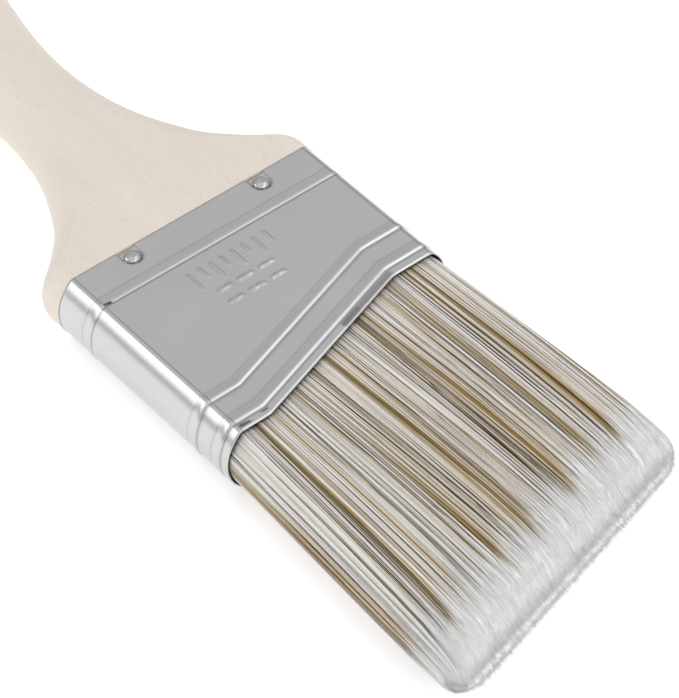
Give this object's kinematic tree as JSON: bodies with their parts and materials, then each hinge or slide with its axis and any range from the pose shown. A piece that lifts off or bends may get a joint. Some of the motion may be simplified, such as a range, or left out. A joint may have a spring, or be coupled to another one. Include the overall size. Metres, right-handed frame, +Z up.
{
  "type": "paint brush",
  "caption": "Angle sash paint brush: flat wooden handle with a hanging hole, bright metal ferrule with a slanted mouth, and tapered filaments with pale tips that bend and spring back.",
  "frame": {"origin": "middle of the underside, where the brush lies flat on its back face", "axes": "+X across the brush towards the ferrule's short side, +Y along the brush towards the hanging hole, +Z up through its thickness"},
  "size_m": [0.0677, 0.2394, 0.0158],
  "materials": {
    "handle_wood": "raw, fine-sanded",
    "ferrule_metal": "bright satin plating",
    "nail_steel": "polished",
    "setting_resin": "cast",
    "plug_plastic": "moulded",
    "filament": "tapered filament, brown and grey with white tips"
  },
  "bodies": {
    "brush_body": {"handle": "handle_wood", "ferrule": "ferrule_metal", "nail_front_left": "nail_steel", "nail_front_right": "nail_steel", "nail_back_left": "nail_steel", "nail_back_right": "nail_steel", "resin_block": "setting_resin", "spacer_plug_front": "plug_plastic", "spacer_plug_back": "plug_plastic", "filament_root_front": "filament", "filament_root_middle": "filament", "filament_root_back": "filament"},
    "bristle_head": {"filament_bank_front": "filament", "filament_bank_middle": "filament", "filament_bank_back": "filament"}
  },
  "joints": [
    {"name": "bristle_flex", "type": "hinge", "parent": "brush_body", "child": "bristle_head", "pos_m": [0, -0.05615, 0.0079], "axis": [0.9703, 0.2419, 0], "range_deg": [-25, 25], "stiffness_Nm_per_rad": 0.5}
  ]
}
